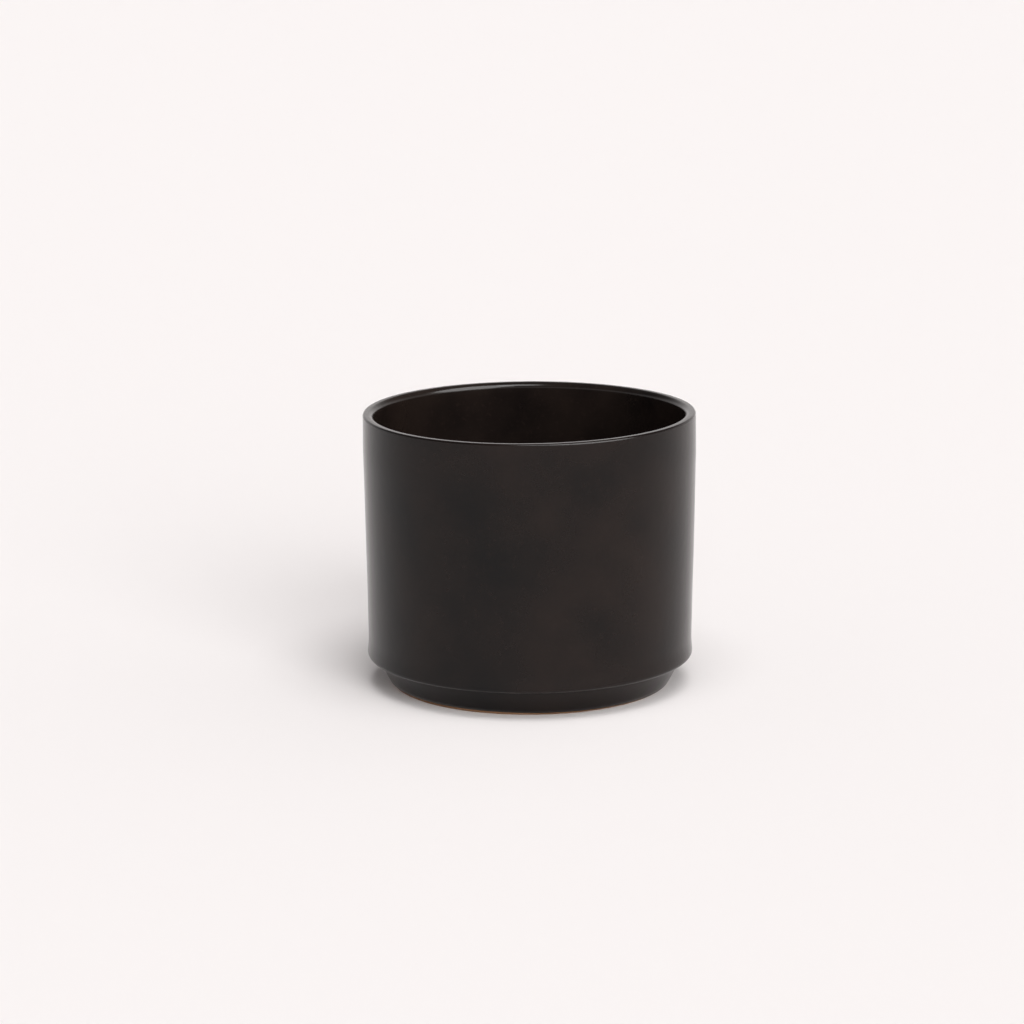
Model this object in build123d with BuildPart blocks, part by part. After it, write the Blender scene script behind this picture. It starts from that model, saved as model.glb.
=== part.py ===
"""Empty stoneware candle jar: a fired clay vessel and the coats of glaze on it.

Everything is turned about +Z. The outline of the glazed surface is drawn once, the clay is that
outline drawn in by the thickness of the glaze, and each coat is what lies between the two.
Millimetres; the foot stands on z = 0.
"""

from build123d import *
from math import radians, tan
import os

# ---- overall size, measured over the glaze ----
rim_diameter = 90.0
height = 73.5

# ---- outside, from the rim down ----
rim_outer_round = 0.6
wall_draft = 1.1          # degrees that the outer wall leans in towards the base
corner_round = 1.25       # rounding under the wall
step_width = 2.5          # how far the step under the wall comes in
crease_round = 0.4        # soft inside corner between step and foot
foot_height = 7.35        # from the table to the step
foot_draft = 29.5         # degrees that the foot's side leans in towards the table
foot_edge_round = 0.6     # clay edges that meet the table

# ---- inside ----
rim_thickness = 3.0
rim_inner_round = 1.6
bore_draft = 1.0          # degrees that the inner wall leans in towards the floor
base_thickness = 5.2      # from the recess under the base to the floor
floor_round = 8.0         # inside corner between floor and wall

# ---- underside ----
foot_ring_width = 4.2     # land that the jar stands on
recess_depth = 1.6
recess_draft = 35.0       # degrees that the recess's side leans out towards the table
recess_round = 0.9

# ---- glaze ----
glaze_thickness = 0.35
glaze_line = 0.75         # outside, the foot is wiped bare below this height
base_glaze_line = 0.5     # and below this one inside the foot ring

# ---- worked out from the sizes above ----
rim_radius = rim_diameter / 2
corner_radius = rim_radius - (height - foot_height) * tan(radians(wall_draft))
crease_radius = corner_radius - step_width
foot_radius = crease_radius - foot_height * tan(radians(foot_draft))
bore_radius = rim_radius - rim_thickness
floor_height = recess_depth + base_thickness
floor_radius = bore_radius - (height - floor_height) * tan(radians(bore_draft))
recess_radius = foot_radius - foot_ring_width
recess_top_radius = recess_radius - recess_depth * tan(radians(recess_draft))

# The outline's corners, as (radius, height). The foot ring's land is drawn one coat of glaze
# below the table, so that drawing the outline in by that much puts bare clay on the table.
land = -glaze_thickness
corners = {
    "recess_centre": (0, recess_depth),
    "floor_centre": (0, floor_height),
    "floor_corner": (floor_radius, floor_height),
    "rim_inside": (bore_radius, height),
    "rim_outside": (rim_radius, height),
    "wall_corner": (corner_radius, foot_height),
    "crease": (crease_radius, foot_height),
    "foot_outside": (foot_radius, land),
    "foot_inside": (recess_radius, land),
    "recess_corner": (recess_top_radius, recess_depth),
}
roundings = {
    "floor_corner": floor_round,
    "rim_inside": rim_inner_round,
    "rim_outside": rim_outer_round,
    "wall_corner": corner_round,
    "crease": crease_round,
    "foot_outside": foot_edge_round + glaze_thickness,
    "foot_inside": foot_edge_round + glaze_thickness,
    "recess_corner": recess_round,
}

# ---- half section of the whole vessel, over the glaze ----
with BuildSketch() as glazed_section:
    with BuildLine():
        radii = [roundings.get(corner, 0) for corner in corners]
        FilletPolyline(*corners.values(), radius=radii, close=True)
    make_face()

# ---- half section of the clay, drawn in from it ----
with BuildSketch() as clay_section:
    add(glazed_section.sketch)
    mirror(about=Plane.YZ)
    offset(amount=-glaze_thickness, kind=Kind.ARC)
    split(bisect_by=Plane.YZ, keep=Keep.TOP)

# ---- half sections of the spaces inside, under and outside the jar ----
# Their edges run through the middle of the clay, so each takes in one coat of glaze whole. The
# inner and outer coats meet on the crown of the rim, and both outer edges stop at a glaze line.
crown_radius = (bore_radius + rim_inner_round + rim_radius - rim_outer_round) / 2
mid_wall = ((floor_radius + corner_radius) / 2, foot_height + step_width)
mid_base = recess_depth + base_thickness / 2
mid_ring_radius = foot_radius - foot_ring_width / 2

with BuildSketch() as inside_space:
    with BuildLine():
        Polyline(
            (0, height),
            (0, mid_base),
            (floor_radius - floor_round, mid_base),
            mid_wall,
            (crown_radius, height),
            close=True,
        )
    make_face()

with BuildSketch() as underside_space:
    with Locations((0, base_glaze_line)):
        Rectangle(mid_ring_radius, mid_base - base_glaze_line, align=Align.MIN)

with BuildSketch() as outside_space:
    with Locations((0, glaze_line)):
        Rectangle(rim_diameter, height, align=Align.MIN)
    add(inside_space.sketch, mode=Mode.SUBTRACT)
    Rectangle(mid_ring_radius, mid_base, align=Align.MIN, mode=Mode.SUBTRACT)


def coat(space):
    """Half section of the glaze that lies in a space."""
    with BuildSketch() as section:
        add(glazed_section.sketch)
        add(clay_section.sketch, mode=Mode.SUBTRACT)
        add(space.sketch, mode=Mode.INTERSECT)
    return section.sketch


# ---- the pieces ----
with BuildPart() as stoneware_body:
    with BuildSketch(Plane.XZ):
        add(clay_section.sketch)
    revolve(axis=Axis.Z)

with BuildPart() as outer_glaze:
    with BuildSketch(Plane.XZ):
        add(coat(outside_space))
    revolve(axis=Axis.Z)

with BuildPart() as liner_glaze:
    with BuildSketch(Plane.XZ):
        add(coat(inside_space))
    revolve(axis=Axis.Z)

with BuildPart() as base_glaze:
    with BuildSketch(Plane.XZ):
        add(coat(underside_space))
    revolve(axis=Axis.Z)

# ---- name and write each piece ----
stoneware_body.part.label = "stoneware_body"
outer_glaze.part.label = "outer_glaze"
liner_glaze.part.label = "liner_glaze"
base_glaze.part.label = "base_glaze"

os.makedirs("parts", exist_ok=True)
export_step(stoneware_body.part, "parts/stoneware_body.step")
export_step(outer_glaze.part, "parts/outer_glaze.step")
export_step(liner_glaze.part, "parts/liner_glaze.step")
export_step(base_glaze.part, "parts/base_glaze.step")
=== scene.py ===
"""Empty candle jar: a stoneware vessel in satin black glaze, standing on white paper.

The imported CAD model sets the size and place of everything. Each CAD node is stood for by a finer
turned mesh of the same outline, which carries the small unevenness of a fired, hand-glazed pot and
corrects the CAD's wall, which is a little too wide. Metres; +Z is up and the foot stands on z = 0.
"""

from math import atan2, cos, pi, radians, sin, tan

import bpy
import numpy as np
from mathutils import Matrix, Vector


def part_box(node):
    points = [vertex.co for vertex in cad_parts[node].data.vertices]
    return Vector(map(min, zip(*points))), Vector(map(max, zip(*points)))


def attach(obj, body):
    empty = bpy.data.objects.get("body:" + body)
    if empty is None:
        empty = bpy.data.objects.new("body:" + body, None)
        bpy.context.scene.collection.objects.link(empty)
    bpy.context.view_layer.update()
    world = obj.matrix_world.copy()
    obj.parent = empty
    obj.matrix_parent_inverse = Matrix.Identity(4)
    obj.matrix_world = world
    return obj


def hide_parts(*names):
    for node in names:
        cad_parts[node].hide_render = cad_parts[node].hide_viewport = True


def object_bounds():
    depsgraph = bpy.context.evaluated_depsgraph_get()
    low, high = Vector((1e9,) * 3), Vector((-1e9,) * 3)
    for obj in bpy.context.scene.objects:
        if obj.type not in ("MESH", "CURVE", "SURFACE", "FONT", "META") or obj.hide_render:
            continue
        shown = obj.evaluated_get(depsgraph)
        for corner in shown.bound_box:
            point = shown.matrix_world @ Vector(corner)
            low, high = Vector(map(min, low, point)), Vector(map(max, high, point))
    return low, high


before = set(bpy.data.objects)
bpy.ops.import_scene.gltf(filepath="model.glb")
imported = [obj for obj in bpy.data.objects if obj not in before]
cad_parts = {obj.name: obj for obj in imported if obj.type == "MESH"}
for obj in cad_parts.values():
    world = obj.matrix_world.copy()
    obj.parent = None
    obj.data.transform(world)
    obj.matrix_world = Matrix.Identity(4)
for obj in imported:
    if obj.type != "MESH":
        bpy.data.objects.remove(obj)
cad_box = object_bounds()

MM = 0.001
scene = bpy.context.scene


# ---- camera, looking a little down on the rim from the front ----
LENS = 130.75                 # millimetres
SENSOR = 36                   # millimetres
NEAREST, FARTHEST = 0.01, 50  # metres that the camera sees
DISTANCE = 0.99               # from the centre of the rim
ELEVATION = 10.91             # degrees that it stands above the rim, seen from the rim's centre
AIM_DOWN = 12.46              # degrees below the horizon that it looks
AIM_LEFT = 0.272              # degrees to the left of the jar's axis that it looks
ROLL = 0.30                   # degrees anticlockwise that the jar leans in the picture

rim_centre = Vector((0, 0, cad_box[1].z))


def add_camera():
    data = bpy.data.cameras.new("camera")
    data.lens = LENS
    data.sensor_width = SENSOR
    data.clip_start = NEAREST
    data.clip_end = FARTHEST
    camera = bpy.data.objects.new("camera", data)
    rise = radians(ELEVATION)
    place = rim_centre + DISTANCE * Vector((0, -cos(rise), sin(rise)))
    turn = (
        Matrix.Rotation(radians(AIM_LEFT), 4, "Z")
        @ Matrix.Rotation(radians(90 - AIM_DOWN), 4, "X")
        @ Matrix.Rotation(radians(-ROLL), 4, "Z")
    )
    camera.matrix_world = Matrix.Translation(place) @ turn
    scene.collection.objects.link(camera)
    scene.camera = camera


add_camera()

# ---- sizes, from the frame ----
clay_low, clay_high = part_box("stoneware_body")
liner_low, liner_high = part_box("liner_glaze")
outer_low, outer_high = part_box("outer_glaze")
base_low, base_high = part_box("base_glaze")

HEIGHT = outer_high.z
GLAZE = HEIGHT - clay_high.z                 # thickness of the coats
FLOOR = liner_low.z + GLAZE                  # height of the floor inside
RECESS = base_high.z - GLAZE                 # height of the recess under the base
GLAZE_LINE = outer_low.z                     # the foot is bare below this
BASE_GLAZE_LINE = base_low.z
CROWN = liner_high.x                         # radius where the two coats meet on the rim

# ---- shapes of the outline that the frame's boxes don't hold ----
WALL_DRAFT = radians(1.1)
RIM_OUTER_ROUND = 0.6 * MM
CORNER_ROUND = 1.25 * MM
STEP_WIDTH = 2.5 * MM
CREASE_ROUND = 0.4 * MM
FOOT_HEIGHT = 7.35 * MM
FOOT_DRAFT = radians(29.5)
FOOT_EDGE_ROUND = 0.6 * MM
RIM_THICKNESS = 3.0 * MM
RIM_INNER_ROUND = 1.6 * MM
BORE_DRAFT = radians(1.0)
FLOOR_ROUND = 8.0 * MM
FOOT_RING = 4.2 * MM
RECESS_DRAFT = radians(35)
RECESS_ROUND = 0.9 * MM

RIM_RADIUS = outer_high.x + RIM_OUTER_ROUND * tan(WALL_DRAFT)
CORNER_RADIUS = RIM_RADIUS - (HEIGHT - FOOT_HEIGHT) * tan(WALL_DRAFT)
CREASE_RADIUS = CORNER_RADIUS - STEP_WIDTH
FOOT_RADIUS = CREASE_RADIUS - FOOT_HEIGHT * tan(FOOT_DRAFT)
BORE_RADIUS = RIM_RADIUS - RIM_THICKNESS
FLOOR_RADIUS = BORE_RADIUS - (HEIGHT - FLOOR) * tan(BORE_DRAFT)
RECESS_RADIUS = FOOT_RADIUS - FOOT_RING
RECESS_TOP_RADIUS = RECESS_RADIUS - RECESS * tan(RECESS_DRAFT)
MID_RING_RADIUS = FOOT_RADIUS - FOOT_RING / 2
LAND = -GLAZE                 # drawn in by a coat of glaze, the clay stands on the table

# ---- fineness of the meshes ----
SEGMENTS = 320                # round the axis
STEP = 0.95 * MM              # along an outline
ARC_STEP = radians(8)         # round its corners
EDGE_ROLL = 0.45 * MM         # over which a coat thins to nothing at its glaze line


# ---- outlines: arrays of (radius, height), which run with the solid on their right ----
def straight(start, end):
    """Points from just after start to end."""
    count = max(1, round(float(np.linalg.norm(end - start)) / STEP))
    return [start + (end - start) * i / count for i in range(1, count + 1)]


def rounded(*corners):
    """A smooth outline through corners of (radius, height, rounding)."""
    points = [np.array(corners[0][:2])]
    for before, here, after in zip(corners, corners[1:], corners[2:]):
        at, rounding = np.array(here[:2]), here[2]
        back, on = np.array(before[:2]) - at, np.array(after[:2]) - at
        back, on = back / np.linalg.norm(back), on / np.linalg.norm(on)
        half = np.arccos(np.clip(back @ on, -1, 1)) / 2
        start, end = at + back * rounding / tan(half), at + on * rounding / tan(half)
        centre = at + (back + on) / np.linalg.norm(back + on) * rounding / sin(half)
        first, last = (atan2(*(p - centre)[::-1]) for p in (start, end))
        sweep = (last - first + pi) % (2 * pi) - pi
        points += straight(points[-1], start)
        count = max(5, round(abs(sweep) / ARC_STEP))
        angles = first + sweep * np.arange(1, count + 1) / count
        points += [centre + rounding * np.array((cos(a), sin(a))) for a in angles]
    return np.array(points + straight(points[-1], np.array(corners[-1][:2])))


def drawn_in(outline, depth):
    """The outline moved into its solid by a depth, the same all along or one for each point."""
    step = np.diff(outline, axis=0)
    step /= np.linalg.norm(step, axis=1)[:, None]
    along = np.vstack((step[:1], step[:-1] + step[1:], step[-1:]))
    along /= np.linalg.norm(along, axis=1)[:, None]
    into = np.stack((along[:, 1], -along[:, 0]), axis=1)
    return outline + into * np.broadcast_to(depth, len(outline))[:, None]


def cut_at(outline, height):
    """The part of an outline above a height, with a point where it is cut."""
    above = outline[:, 1] > height
    inner = np.flatnonzero(above)[-1 if above[0] else 0]
    other = inner + (1 if above[0] else -1)
    share = (outline[inner, 1] - height) / (outline[inner, 1] - outline[other, 1])
    cut = outline[inner] + (outline[other] - outline[inner]) * share
    kept = outline[above]
    return np.vstack((kept, cut)) if above[0] else np.vstack((cut, kept))


def coat(surface, rolled=None):
    """Closed outline of a coat with this surface. Its rolled end, 0 or -1, thins to nothing."""
    depth = np.zeros(len(surface))
    if rolled is not None:
        run = np.linalg.norm(surface - surface[rolled], axis=1)
        depth = GLAZE * (1 - np.sqrt(1 - np.clip(1 - run / EDGE_ROLL, 0, 1) ** 2))
    back = drawn_in(surface, GLAZE)[::-1]
    top = drawn_in(surface, depth)
    if rolled == -1:
        back = back[1:]
    if rolled == 0:
        back = back[:-1]
    return np.vstack((top, back))


floor_corner = (FLOOR_RADIUS, FLOOR, FLOOR_ROUND)
rim_inside = (BORE_RADIUS, HEIGHT, RIM_INNER_ROUND)
rim_outside = (RIM_RADIUS, HEIGHT, RIM_OUTER_ROUND)
wall_corner = (CORNER_RADIUS, FOOT_HEIGHT, CORNER_ROUND)
crease = (CREASE_RADIUS, FOOT_HEIGHT, CREASE_ROUND)
foot_outside = (FOOT_RADIUS, LAND, FOOT_EDGE_ROUND + GLAZE)
foot_inside = (RECESS_RADIUS, LAND, FOOT_EDGE_ROUND + GLAZE)
recess_corner = (RECESS_TOP_RADIUS, RECESS, RECESS_ROUND)

inside = rounded((0, FLOOR), floor_corner, rim_inside, (CROWN, HEIGHT))
outside = rounded(
    (CROWN, HEIGHT), rim_outside, wall_corner, crease, foot_outside, (MID_RING_RADIUS, LAND)
)
underside = rounded((MID_RING_RADIUS, LAND), foot_inside, recess_corner, (0, RECESS))


# ---- correction: the CAD's wall is too wide above its lower corner ----
NARROWING = 0.38              # millimetres of radius that the wall is drawn in
NARROWED_FROM = 7.5 * MM      # height where that begins
NARROWED_AT = 12.5 * MM       # height where it is full

# ---- unevenness of the fired pot ----
RIM_CLOSING = 0.30            # millimetres that the top of the wall closes in further
RIM_CLOSING_DEPTH = 12 * MM   # over this depth
RING_DEPTH = 0.03             # millimetres, of the broad rings up the wall
RING_COUNT = 2.3              # of them from foot to rim
WIPED_FROM = 0.7              # share of the foot's height below which wiping moved the glaze
PAST_LINE = 1.1               # how far beyond the glaze line it may still move, as a share


def wave(angle, count, turn):
    """A cosine with this many crests round the pot, one of them at turn degrees."""
    return np.cos(count * (angle - radians(turn)))


def fired(points):
    """Moves points of the CAD's pot to their place on a narrower and slightly uneven one."""
    x, y, z = points.T
    angle = np.arctan2(y, x)
    share = np.clip(z / HEIGHT, 0, 1)
    drawn = np.clip((z - HEIGHT + RIM_CLOSING_DEPTH) / RIM_CLOSING_DEPTH, 0, 1)
    swell = 0.05 * wave(angle, 2, 25) + 0.04 * wave(angle, 5, 10)
    swell = swell - 0.09 * wave(angle, 1, 180) - 0.06
    rings = RING_DEPTH * np.sin(2 * pi * share * RING_COUNT) * share
    swell = swell * share * (1.2 - share) * 4 + rings
    swell = swell - RIM_CLOSING * drawn**2 * (3 - 2 * drawn)
    narrowed = np.clip((z - NARROWED_FROM) / (NARROWED_AT - NARROWED_FROM), 0, 1)
    swell = swell - NARROWING * narrowed**2 * (3 - 2 * narrowed)
    lift = 0.02 + 0.09 * np.sin(angle) + 0.17 * np.cos(angle) + 0.08 * wave(angle, 2, -35)
    scale = 1 + swell * MM / RIM_RADIUS
    return np.stack((x * scale, y * scale, z + lift * share * MM), axis=1)


def wiped_line(angle):
    """How far the outer glaze line lies above its usual height, round the foot."""
    tilt = -0.33 + 0.32 * wave(angle, 1, 195) + 0.10 * wave(angle, 2, 0)
    return (tilt + 0.05 * wave(angle, 3, 20) + 0.04 * wave(angle, 7, 50)) * MM


def flowed(points):
    """Slides the lower edge of the outer glaze along the foot to where it was wiped off."""
    x, y, z = points.T
    radius, angle = np.hypot(x, y), np.arctan2(y, x)
    top = FOOT_HEIGHT * WIPED_FROM
    share = np.clip((top - z) / (top - GLAZE_LINE), 0, PAST_LINE)
    share = np.where(radius < FOOT_RADIUS - GLAZE * 2, 0, share)
    rise = wiped_line(angle) * share
    scale = 1 + rise * tan(FOOT_DRAFT) / np.maximum(radius, FOOT_RADIUS / 2)
    return np.stack((x * scale, y * scale, z + rise), axis=1)


# ---- turned meshes ----
CREASE_ANGLE = radians(50)    # edges sharper than this are shaded as edges


def turned(name, outline, shape=None):
    """A closed mesh: the outline turned about Z, with a pole at each end that lies on the axis."""
    poles = [i for i in (0, len(outline) - 1) if outline[i, 0] < 1e-9]
    angles = 2 * pi * np.arange(SEGMENTS) / SEGMENTS
    rows, points, first = [], [], 0
    for i, (radius, height) in enumerate(outline):
        count = 1 if i in poles else SEGMENTS
        ring = angles[:count]
        points.append(
            np.stack((radius * np.cos(ring), radius * np.sin(ring), np.full(count, height)), axis=1)
        )
        rows.append([first + j % count for j in range(SEGMENTS)])
        first += count
    pairs = list(zip(rows, rows[1:]))
    if not poles:
        pairs.append((rows[-1], rows[0]))
    faces = []
    for upper, lower in pairs:
        for j in range(SEGMENTS):
            k = (j + 1) % SEGMENTS
            corners = (upper[j], lower[j], lower[k], upper[k])
            faces.append(tuple(dict.fromkeys(corners)))
    points = np.vstack(points)
    if shape:
        points = shape(points)
    points = fired(points)
    mesh = bpy.data.meshes.new(name)
    mesh.from_pydata(points.tolist(), [], faces)
    mesh.shade_smooth()
    mesh.set_sharp_from_angle(angle=CREASE_ANGLE)
    mesh.validate()
    piece = bpy.data.objects.new(name, mesh)
    scene.collection.objects.link(piece)
    return piece


clay = turned("clay_pot", drawn_in(np.vstack((inside, outside[1:], underside[1:])), GLAZE))
outer = turned("outer_coat", coat(cut_at(outside, GLAZE_LINE), rolled=-1), flowed)
liner = turned("liner_coat", coat(inside))
base = turned("base_coat", coat(cut_at(underside, BASE_GLAZE_LINE), rolled=0))


# ---- materials ----
# Noise scales, in crests per metre.
CLOUD = 55                    # warm and neutral areas of the glaze
CLAY_CLOUD = 140              # lighter and darker clay
PEEL = 420                    # slow unevenness of the glaze
RINGS = 650                   # turning lines
SPECK = 900                   # iron specks
GRAIN = 1700                  # satin grain
GRIT = 2600                   # grit in the clay
SLOWNESS = 0.06               # how slowly the turning lines change round the pot
GLAZE_IOR, CLAY_IOR = 1.29, 1.4


def material(name):
    made = bpy.data.materials.new(name)
    made.use_nodes = True
    return made, made.node_tree.nodes, made.node_tree.links, made.node_tree.nodes["Principled BSDF"]


def noise_node(nodes, links, source, scale, detail=2.0, rough=0.5):
    node = nodes.new("ShaderNodeTexNoise")
    node.inputs["Scale"].default_value = scale
    node.inputs["Detail"].default_value = detail
    node.inputs["Roughness"].default_value = rough
    links.new(source, node.inputs["Vector"])
    return node.outputs["Fac"]


def ramp_node(nodes, links, source, low, high, colours):
    node = nodes.new("ShaderNodeValToRGB")
    node.color_ramp.elements[0].position, node.color_ramp.elements[1].position = low, high
    for element, colour in zip(node.color_ramp.elements, colours):
        element.color = (*colour, 1)
    links.new(source, node.inputs["Fac"])
    return node.outputs["Color"]


def range_node(nodes, links, source, low, high, to_low, to_high):
    node = nodes.new("ShaderNodeMapRange")
    for socket, value in zip(node.inputs[1:5], (low, high, to_low, to_high)):
        socket.default_value = value
    links.new(source, node.inputs["Value"])
    return node.outputs["Result"]


def mix_node(nodes, links, share, a, b):
    node = nodes.new("ShaderNodeMix")
    node.data_type = "RGBA"
    links.new(share, node.inputs["Factor"])
    links.new(a, node.inputs[6])
    links.new(b, node.inputs[7])
    return node.outputs[2]


def bump_node(nodes, links, source, distance, strength, under=None):
    node = nodes.new("ShaderNodeBump")
    node.inputs["Distance"].default_value = distance
    node.inputs["Strength"].default_value = strength
    links.new(source, node.inputs["Height"])
    if under:
        links.new(under, node.inputs["Normal"])
    return node.outputs["Normal"]


def turning_coordinates(nodes, links, position):
    """Coordinates that run slowly round the axis, so that noise in them draws turning lines."""
    apart = nodes.new("ShaderNodeSeparateXYZ")
    links.new(position, apart.inputs[0])
    flat = nodes.new("ShaderNodeVectorMath")
    flat.operation = "MULTIPLY"
    flat.inputs[1].default_value = (1, 1, 0)
    links.new(position, flat.inputs[0])
    reach = nodes.new("ShaderNodeVectorMath")
    reach.operation = "LENGTH"
    links.new(flat.outputs[0], reach.inputs[0])
    spread = nodes.new("ShaderNodeMath")
    spread.operation = "ADD"
    links.new(apart.outputs["Z"], spread.inputs[0])
    links.new(reach.outputs["Value"], spread.inputs[1])
    slow = nodes.new("ShaderNodeVectorMath")
    slow.operation = "SCALE"
    slow.inputs["Scale"].default_value = SLOWNESS
    links.new(flat.outputs[0], slow.inputs[0])
    slow_apart = nodes.new("ShaderNodeSeparateXYZ")
    links.new(slow.outputs[0], slow_apart.inputs[0])
    joined = nodes.new("ShaderNodeCombineXYZ")
    links.new(slow_apart.outputs["X"], joined.inputs["X"])
    links.new(slow_apart.outputs["Y"], joined.inputs["Y"])
    links.new(spread.outputs[0], joined.inputs["Z"])
    return joined.outputs[0]


def glaze_material(name, dark, warm, lines, painted_light_side):
    """Satin glaze. Its turning lines are this many millimetres deep, and the last argument paints light
    on it: the side towards +X is painted lighter and warmer, or the side towards -X if it is negative.
    """
    made, nodes, links, shader = material(name)
    position = nodes.new("ShaderNodeTexCoord").outputs["Object"]
    turning = turning_coordinates(nodes, links, position)
    cloud = noise_node(nodes, links, position, CLOUD, 3)
    speck = noise_node(nodes, links, position, SPECK, 2)
    grain = noise_node(nodes, links, position, GRAIN, 2, 0.6)
    peel = noise_node(nodes, links, position, PEEL, 1)
    rings = noise_node(nodes, links, turning, RINGS, 2)
    apart = nodes.new("ShaderNodeSeparateXYZ")
    links.new(position, apart.inputs[0])
    # painted light: X is added to the cloud, so one side of the coat is painted lighter and warmer, as
    # if lit from that side
    side_light_paint = nodes.new("ShaderNodeMath")
    side_light_paint.operation = "MULTIPLY_ADD"
    side_light_paint.inputs[1].default_value = painted_light_side
    links.new(apart.outputs["X"], side_light_paint.inputs[0])
    links.new(cloud, side_light_paint.inputs[2])
    body = ramp_node(nodes, links, side_light_paint.outputs[0], 0.25, 0.8, (dark, warm))
    pale = ramp_node(nodes, links, speck, 0.45, 0.75, (dark, [c * 1.4 for c in warm]))
    share = range_node(nodes, links, speck, 0.5, 0.8, 0, 0.35)
    links.new(mix_node(nodes, links, share, body, pale), shader.inputs["Base Color"])
    rough = range_node(nodes, links, cloud, 0.3, 0.7, 0.15, 0.21)
    links.new(rough, shader.inputs["Roughness"])
    shader.inputs["IOR"].default_value = GLAZE_IOR
    surface = bump_node(nodes, links, peel, 0.02 * MM, 1)
    surface = bump_node(nodes, links, rings, lines * MM, 1, surface)
    surface = bump_node(nodes, links, grain, 0.012 * MM, 1, surface)
    links.new(surface, shader.inputs["Normal"])
    return made


def clay_material():
    """Fired brown clay with dark grit."""
    made, nodes, links, shader = material("bare_clay")
    position = nodes.new("ShaderNodeTexCoord").outputs["Object"]
    cloud = noise_node(nodes, links, position, CLAY_CLOUD, 3)
    grit = noise_node(nodes, links, position, GRIT, 3, 0.7)
    body = ramp_node(nodes, links, cloud, 0.35, 0.65, ((0.16, 0.080, 0.040), (0.23, 0.130, 0.072)))
    dark = ramp_node(nodes, links, cloud, 0.35, 0.65, ((0.06, 0.033, 0.022), (0.10, 0.058, 0.038)))
    share = range_node(nodes, links, grit, 0.58, 0.72, 0, 1)
    links.new(mix_node(nodes, links, share, body, dark), shader.inputs["Base Color"])
    links.new(range_node(nodes, links, grit, 0.3, 0.7, 0.8, 0.95), shader.inputs["Roughness"])
    shader.inputs["IOR"].default_value = CLAY_IOR
    links.new(bump_node(nodes, links, grit, 0.08 * MM, 1), shader.inputs["Normal"])
    return made


NEUTRAL, WARM = (0.0030, 0.0025, 0.0025), (0.0115, 0.0070, 0.0056)
# painted light: the inside coat is the same black glaze, given these lighter colours to stand in for
# light falling on the inner wall
LIT_INNER_DARK, LIT_INNER_WARM = (0.0058, 0.0044, 0.0041), (0.0190, 0.0125, 0.0100)
# The last number of each glaze is painted light: the outer coat's right side (+X) and the inner coat's
# left side (-X) are painted lighter and warmer, as if lit. The base coat has none.
for piece, node, slot, finish in (
    (clay, "stoneware_body", "bare_stoneware", clay_material()),
    (outer, "outer_glaze", "satin_black_glaze", glaze_material("glaze", NEUTRAL, WARM, 0.006, 4)),
    (
        liner,
        "liner_glaze",
        "satin_black_glaze_inside",
        glaze_material("glaze_inside", LIT_INNER_DARK, LIT_INNER_WARM, 0.02, -3),
    ),
    (base, "base_glaze", "satin_black_glaze_base", glaze_material("glaze_base", NEUTRAL, WARM, 0.01, 0)),
):
    piece.data.materials.append(finish)
    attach(piece, "root")
    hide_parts(node)


# ---- white paper floor, out to the horizon ----
FLOOR_REACH = 14.0            # metres
FLOOR_SIDES = 96
PAPER = (0.90, 0.865, 0.858)


def add_floor():
    points = [(0, 0, 0)]
    turns = [2 * pi * j / FLOOR_SIDES for j in range(FLOOR_SIDES)]
    points += [(FLOOR_REACH * cos(turn), FLOOR_REACH * sin(turn), 0) for turn in turns]
    faces = [(0, 1 + j, 1 + (j + 1) % FLOOR_SIDES) for j in range(FLOOR_SIDES)]
    mesh = bpy.data.meshes.new("floor")
    mesh.from_pydata(points, [], faces)
    floor = bpy.data.objects.new("floor", mesh)
    scene.collection.objects.link(floor)
    paper, nodes, links, shader = material("white_paper")
    shader.inputs["Base Color"].default_value = (*PAPER, 1)
    shader.inputs["Roughness"].default_value = 1
    shader.inputs["Specular IOR Level"].default_value = 0
    mesh.materials.append(paper)


add_floor()


# ---- light ----
# Three soft lamps light the paper and the clay: one high overhead, one low in front, and a broad
# weak one from the right and behind. Two more only glint in the glaze. The world is the backdrop.
def add_sun(name, azimuth, elevation, size, strength):
    """A lamp so many degrees round to the right of the camera, seen from the jar, and above it."""
    data = bpy.data.lights.new(name, "SUN")
    data.energy = strength
    data.angle = radians(size)
    light = bpy.data.objects.new(name, data)
    rise, turn = radians(elevation), radians(azimuth)
    towards = Vector((cos(rise) * sin(turn), -cos(rise) * cos(turn), sin(rise)))
    light.rotation_mode = "QUATERNION"
    light.rotation_quaternion = towards.to_track_quat("Z", "Y")
    scene.collection.objects.link(light)
    return light


for lamp in (
    add_sun("overhead", azimuth=18, elevation=75, size=40, strength=1.54),
    add_sun("front", azimuth=18, elevation=24, size=45, strength=2.28),
    add_sun("side", azimuth=115, elevation=30, size=100, strength=0.39),
):
    lamp.visible_glossy = False

for lamp in (
    add_sun("panel", azimuth=50, elevation=36, size=54, strength=6),
    add_sun("strip", azimuth=12, elevation=58, size=26, strength=1.6),
):
    lamp.visible_diffuse = False


PALE, DIM = (1.06, 1.015, 1.005), (0.11, 0.105, 0.105)
PALE_TO, DIM_FROM = radians(13), radians(30)    # above the horizon


def add_backdrop():
    """The world: white near the horizon, dim above."""
    world = bpy.data.worlds.new("studio")
    world.use_nodes = True
    nodes, links = world.node_tree.nodes, world.node_tree.links
    apart = nodes.new("ShaderNodeSeparateXYZ")
    links.new(nodes.new("ShaderNodeTexCoord").outputs["Generated"], apart.inputs[0])
    low, high = sin(PALE_TO), sin(DIM_FROM)
    rise = ramp_node(nodes, links, apart.outputs["Z"], low, high, (PALE, DIM))
    links.new(rise, nodes["Background"].inputs["Color"])
    scene.world = world


add_backdrop()
scene.view_settings.view_transform = "Standard"
